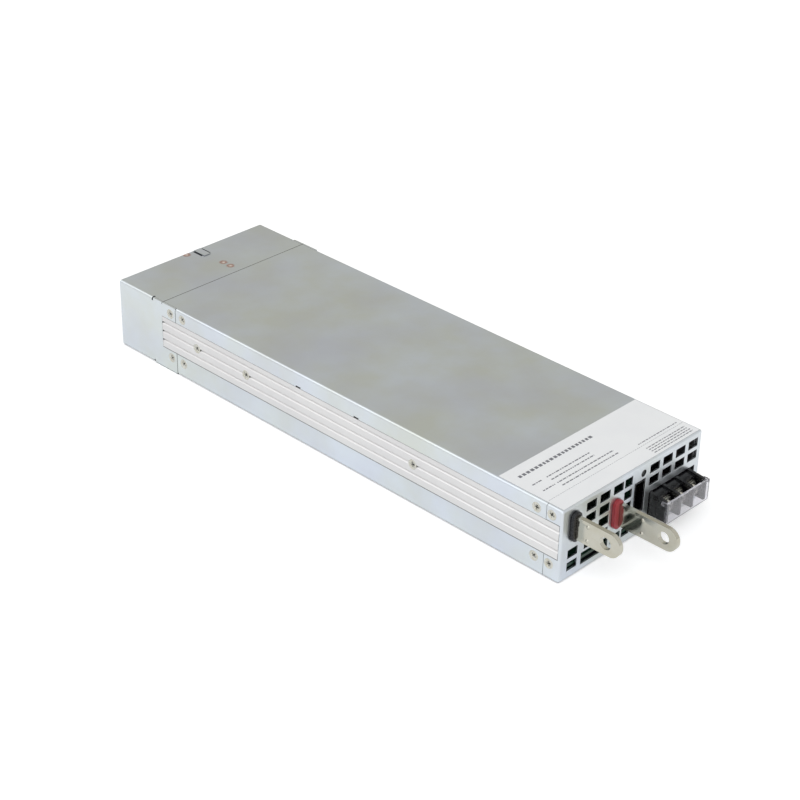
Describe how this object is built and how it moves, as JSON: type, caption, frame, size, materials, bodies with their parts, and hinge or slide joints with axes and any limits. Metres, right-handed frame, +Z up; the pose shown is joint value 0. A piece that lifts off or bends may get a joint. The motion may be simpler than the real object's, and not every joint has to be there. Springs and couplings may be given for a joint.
{
  "type": "enclosed power supply",
  "caption": "Flat enclosed power supply with side rails, slotted front, two output bars, covered terminal block, signal socket and rear fans.",
  "frame": {"origin": "centre of the case's underside", "axes": "+X to the right when facing the terminals from behind the case's fans, +Y towards the fans, +Z up"},
  "size_m": [0.107, 0.3626, 0.0414],
  "materials": {
    "anodised_aluminium": "extruded and clear anodised",
    "black_plastic": "moulded glass-filled plastic",
    "can_sleeve": "shrunk vinyl sleeve",
    "capacitor_box": "moulded capacitor box",
    "circuit_board": "solder-masked laminate",
    "clear_plastic": "clear moulded polycarbonate",
    "dark_film": "polyester insulating film",
    "ferrite": "sintered ferrite",
    "fuse_body": "ceramic tube",
    "gold_pin": "plated contact pins",
    "label_film": "satin label film",
    "lamp_lens": "diffused lamp lens",
    "red_plastic": "moulded plastic",
    "screw_steel": "zinc-nickel plated steel",
    "tinned_copper": "matt tin plating on rolled copper",
    "winding": "taped copper winding",
    "zinc_plated_steel": "bright zinc plating on folded sheet"
  },
  "bodies": {
    "enclosure": {"board_screws": "screw_steel", "board_stand_offs": "screw_steel", "boost_choke_1": "winding", "boost_choke_2": "winding", "bottom_chassis": "zinc_plated_steel", "bulk_capacitor_1": "can_sleeve", "bulk_capacitor_2": "can_sleeve", "bulk_capacitor_3": "can_sleeve", "case_screws": "screw_steel", "control_board": "circuit_board", "device_nuts": "screw_steel", "fan_divider": "zinc_plated_steel", "fan_housing": "zinc_plated_steel", "fan_screws": "screw_steel", "fixing_nuts": "screw_steel", "front_panel": "zinc_plated_steel", "input_fuse": "fuse_body", "insulating_film": "dark_film", "lamp_holder": "black_plastic", "left_fan_frame": "black_plastic", "left_rail": "anodised_aluminium", "line_capacitor": "capacitor_box", "line_choke_1": "winding", "line_choke_2": "winding", "main_board": "circuit_board", "negative_busbar": "tinned_copper", "negative_collar": "black_plastic", "output_capacitor_1": "can_sleeve", "output_capacitor_2": "can_sleeve", "output_capacitor_3": "can_sleeve", "output_capacitor_4": "can_sleeve", "output_heatsink": "anodised_aluminium", "positive_busbar": "tinned_copper", "positive_collar": "red_plastic", "power_devices": "black_plastic", "rail_screws": "screw_steel", "rating_label": "label_film", "right_fan_frame": "black_plastic", "right_rail": "anodised_aluminium", "signal_connector": "black_plastic", "signal_pins": "gold_pin", "status_lamp": "lamp_lens", "terminal_block": "black_plastic", "terminal_contacts": "screw_steel", "top_cover": "zinc_plated_steel", "transformer_coil_1": "winding", "transformer_coil_2": "winding", "transformer_core_1": "ferrite", "transformer_core_2": "ferrite"},
    "left_fan": {"left_fan_rotor": "black_plastic"},
    "right_fan": {"right_fan_rotor": "black_plastic"},
    "terminal_lid": {"terminal_cover": "clear_plastic"},
    "clamp_1": {"clamp_plate_1": "screw_steel"},
    "screw_1": {"terminal_screw_1": "screw_steel"},
    "clamp_2": {"clamp_plate_2": "screw_steel"},
    "screw_2": {"terminal_screw_2": "screw_steel"},
    "clamp_3": {"clamp_plate_3": "screw_steel"},
    "screw_3": {"terminal_screw_3": "screw_steel"}
  },
  "joints": [
    {"name": "left_fan_spin", "type": "hinge", "parent": "enclosure", "child": "left_fan", "pos_m": [-0.024, 0.1337, 0.0205], "axis": [0, 1, 0], "continuous": true},
    {"name": "right_fan_spin", "type": "hinge", "parent": "enclosure", "child": "right_fan", "pos_m": [0.03, 0.1337, 0.0205], "axis": [0, 1, 0], "continuous": true},
    {"name": "terminal_lid_swing", "type": "hinge", "parent": "enclosure", "child": "terminal_lid", "pos_m": [0, -0.172, 0.01953], "axis": [-1, 0, 0], "range_deg": [0, 95]},
    {"name": "clamp_1_slide", "type": "slide", "parent": "enclosure", "child": "clamp_1", "axis": [0, -1, 0], "range_m": [0, 0.00175]},
    {"name": "screw_1_turn", "type": "hinge", "parent": "clamp_1", "child": "screw_1", "pos_m": [0.01935, -0.1697, 0.0152], "axis": [0, -1, 0], "range_deg": [0, 900.5]},
    {"name": "clamp_2_slide", "type": "slide", "parent": "enclosure", "child": "clamp_2", "axis": [0, -1, 0], "range_m": [0, 0.00175]},
    {"name": "screw_2_turn", "type": "hinge", "parent": "clamp_2", "child": "screw_2", "pos_m": [0.02945, -0.1697, 0.0152], "axis": [0, -1, 0], "range_deg": [0, 900.5]},
    {"name": "clamp_3_slide", "type": "slide", "parent": "enclosure", "child": "clamp_3", "axis": [0, -1, 0], "range_m": [0, 0.00175]},
    {"name": "screw_3_turn", "type": "hinge", "parent": "clamp_3", "child": "screw_3", "pos_m": [0.03955, -0.1697, 0.0152], "axis": [0, -1, 0], "range_deg": [0, 900.5]}
  ],
  "couplings": [
    {"joint": "screw_1_turn", "follows": "clamp_1_slide", "rad_per_m": 8976},
    {"joint": "screw_2_turn", "follows": "clamp_2_slide", "rad_per_m": 8976},
    {"joint": "screw_3_turn", "follows": "clamp_3_slide", "rad_per_m": 8976}
  ]
}
